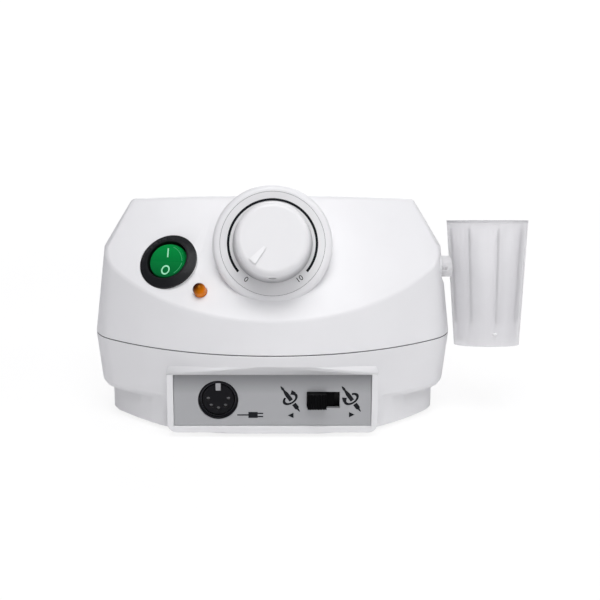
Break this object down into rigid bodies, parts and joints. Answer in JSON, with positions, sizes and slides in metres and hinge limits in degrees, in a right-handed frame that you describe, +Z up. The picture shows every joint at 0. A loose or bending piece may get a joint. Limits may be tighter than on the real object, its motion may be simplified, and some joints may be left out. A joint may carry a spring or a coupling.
{
  "type": "dental micromotor control unit",
  "caption": "Desk control unit for a dental micromotor: wedge-shaped white housing with a speed dial, green rocker, pilot lamp, motor socket, direction slide and a swivelling handpiece cup.",
  "frame": {"origin": "on the bench under the middle of the housing's width and depth", "axes": "+Z up, front towards -Y, +X towards the handpiece cup"},
  "size_m": [0.1728, 0.1073, 0.0952],
  "materials": {
    "housing": "moulded, satin",
    "dial": "smooth",
    "knob": "moulded, satin",
    "panel": "satin",
    "rear": "matt",
    "steel": "plated",
    "brass": "bright",
    "rubber": "matt",
    "black": "moulded",
    "rocker": "translucent green",
    "lamp": "amber, clear",
    "core": "varnished laminations",
    "coil": "wound wire under tape",
    "board": "printed board",
    "can": "sleeved",
    "sink": "extruded",
    "link": "clear",
    "cup": "frosted, translucent"
  },
  "bodies": {
    "housing": {"upper_shell": "housing", "lower_shell": "housing", "holder_bush": "housing", "dial_disc": "dial", "front_panel": "panel", "rear_panel": "rear", "housing_screws": "steel", "pot_body": "steel", "pot_nut": "steel", "motor_socket_shield": "steel", "slide_switch_case": "steel", "transformer_bracket": "steel", "transformer_screws": "steel", "board_screws": "steel", "lamp_leads": "steel", "foot_jack_nut": "steel", "pot_bushing": "brass", "pot_terminals": "brass", "power_switch_terminals": "brass", "slide_switch_terminals": "brass", "foot_jack_terminals": "brass", "motor_socket_contacts": "brass", "mains_inlet_pins": "brass", "rubber_feet": "rubber", "power_switch_body": "black", "motor_socket_body": "black", "motor_socket_core": "black", "mains_inlet": "black", "fuse_holder": "black", "fuse_nut": "black", "foot_jack": "black", "lamp_clip": "black", "bridge_rectifier": "black", "power_transistor": "black", "lamp_lens": "lamp", "transformer_core": "core", "transformer_coil": "coil", "control_board": "board", "filter_capacitor": "can", "heat_sink": "sink"},
    "knob": {"speed_knob": "knob", "knob_insert": "brass", "knob_set_screw": "steel", "pot_shaft": "steel"},
    "rocker": {"power_rocker": "rocker"},
    "slide": {"slide_actuator": "black"},
    "holder": {"handpiece_cup": "cup"},
    "fuse_carrier": {"fuse_cap": "black", "fuse_link": "link"}
  },
  "joints": [
    {"name": "knob_turn", "type": "hinge", "parent": "housing", "child": "knob", "pos_m": [0, -0.03626, 0.07426], "axis": [0, 0.9397, -0.342], "range_deg": [0, 278]},
    {"name": "rocker_tilt", "type": "hinge", "parent": "housing", "child": "rocker", "pos_m": [-0.03976, -0.02744, 0.06395], "axis": [-0.9472, 0.3162, -0.0542], "range_deg": [0, 18]},
    {"name": "direction_slide", "type": "slide", "parent": "housing", "child": "slide", "axis": [1, 0, 0], "range_m": [0, 0.0048]},
    {"name": "holder_swivel", "type": "hinge", "parent": "housing", "child": "holder", "pos_m": [0.08568, -0.01417, 0.06], "axis": [1, 0, 0], "range_deg": [-45, 45]},
    {"name": "fuse_cap_turn", "type": "hinge", "parent": "housing", "child": "fuse_carrier", "pos_m": [-0.008, 0.05, 0.035], "axis": [0, 1, 0], "range_deg": [0, 60]}
  ]
}
